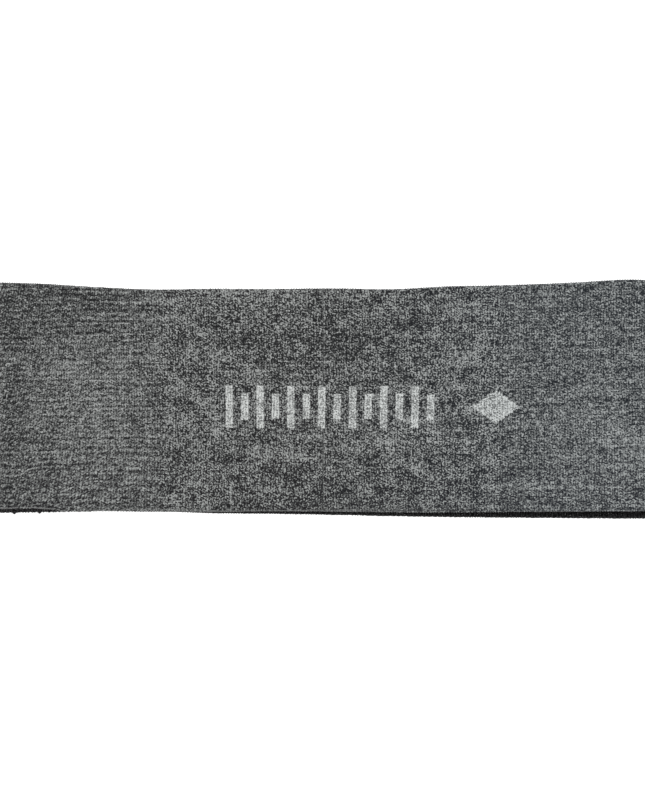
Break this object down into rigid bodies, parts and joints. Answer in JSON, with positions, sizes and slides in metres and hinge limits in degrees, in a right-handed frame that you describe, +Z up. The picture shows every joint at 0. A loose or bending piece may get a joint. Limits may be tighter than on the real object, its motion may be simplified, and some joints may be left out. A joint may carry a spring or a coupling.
{
  "type": "knitted headband",
  "caption": "Wide double-layer marl knit sports headband, lying flat, with a dark plain lining, a turned top edge, a stitched bottom edge and a light geometric motif knitted into the front.",
  "frame": {"origin": "centre of the underside's bounding rectangle, on the surface that the band lies on", "axes": "+X along the flat length, from the wearer's right fold to the left fold; +Y up the height of the band, towards its turned top edge; +Z up off the surface, out of the front face"},
  "size_m": [0.234, 0.0841, 0.0098],
  "materials": {
    "marl_knit": "matt heather grey single jersey knit",
    "lining_knit": "matt near-black fine rib knit",
    "light_yarn": "matt pale grey yarn, knitted in",
    "clear_elastic": "translucent, slightly glossy",
    "seam_thread": "twisted textured polyester thread",
    "label_satin": "white satin tape with a soft sheen"
  },
  "bodies": {
    "root": {"outer_shell": "marl_knit", "inner_lining": "lining_knit", "motif_bars": "light_yarn", "motif_lozenge": "light_yarn", "float_backing": "lining_knit", "upper_edge_elastic": "clear_elastic", "lower_edge_elastic": "clear_elastic", "closing_seam_thread": "seam_thread", "inner_join_thread": "seam_thread", "care_label": "label_satin", "label_stitches": "seam_thread"}
  },
  "joints": []
}
